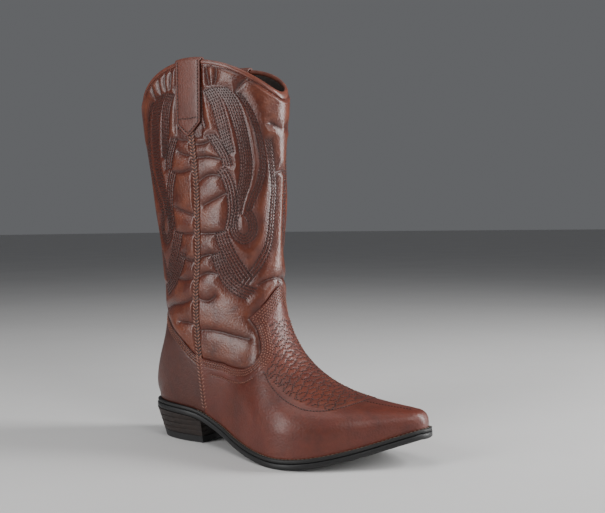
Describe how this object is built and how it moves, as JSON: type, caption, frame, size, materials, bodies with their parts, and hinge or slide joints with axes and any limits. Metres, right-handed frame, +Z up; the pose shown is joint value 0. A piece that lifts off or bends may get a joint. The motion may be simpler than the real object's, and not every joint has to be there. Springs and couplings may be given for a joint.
{
  "type": "western boot",
  "caption": "Tall pull-on western boot for the right foot, pointed toe, stitched leather shaft with a scalloped rim and pull straps, on a welted sole with a stacked heel.",
  "frame": {"origin": "middle of the bounding box in x and y, on the plane that heel and ball stand on", "axes": "+X from heel to toe, +Y towards the inner side of the leg, +Z up the shaft"},
  "size_m": [0.3096, 0.1102, 0.3637],
  "materials": {
    "vamp_leather": "semi-gloss brown leather, full grain with a soft waxed sheen",
    "shaft_leather": "semi-gloss brown leather, puffed between rows of stitching",
    "edge_leather": "rolled and plaited brown leather edging",
    "strap_leather": "smooth brown strap leather with stitched edges",
    "lining_leather": "matt pigskin lining",
    "board": "pressed fibre board",
    "cork": "cork filler",
    "spring_steel": "spring steel shank",
    "sole_leather": "black edge-finished sole leather",
    "stacked_leather": "dark stained stacked leather lifts",
    "cap_rubber": "matt black rubber heel cap",
    "nail_brass": "brass nail heads"
  },
  "bodies": {
    "root": {"counter_stiffener": "board", "filler": "cork", "heel_cap": "cap_rubber", "heel_counter": "vamp_leather", "heel_lift_1": "stacked_leather", "heel_lift_2": "stacked_leather", "heel_lift_3": "stacked_leather", "heel_lining": "lining_leather", "heel_nail_1": "nail_brass", "heel_nail_2": "nail_brass", "heel_nail_3": "nail_brass", "heel_nail_4": "nail_brass", "heel_nail_5": "nail_brass", "heel_rand": "sole_leather", "heel_wedge": "stacked_leather", "insole_board": "board", "lower_seam_braid_inner": "edge_leather", "lower_seam_braid_outer": "edge_leather", "outsole": "sole_leather", "pull_strap_inner": "strap_leather", "pull_strap_outer": "strap_leather", "shaft_back_panel": "shaft_leather", "shaft_front_panel": "shaft_leather", "shaft_lining_back": "lining_leather", "shaft_lining_front": "lining_leather", "shank": "spring_steel", "side_seam_cord_inner": "edge_leather", "side_seam_cord_outer": "edge_leather", "sock_liner": "lining_leather", "toe_puff": "board", "top_binding": "edge_leather", "vamp": "vamp_leather", "vamp_lining": "lining_leather", "welt": "sole_leather"}
  },
  "joints": []
}
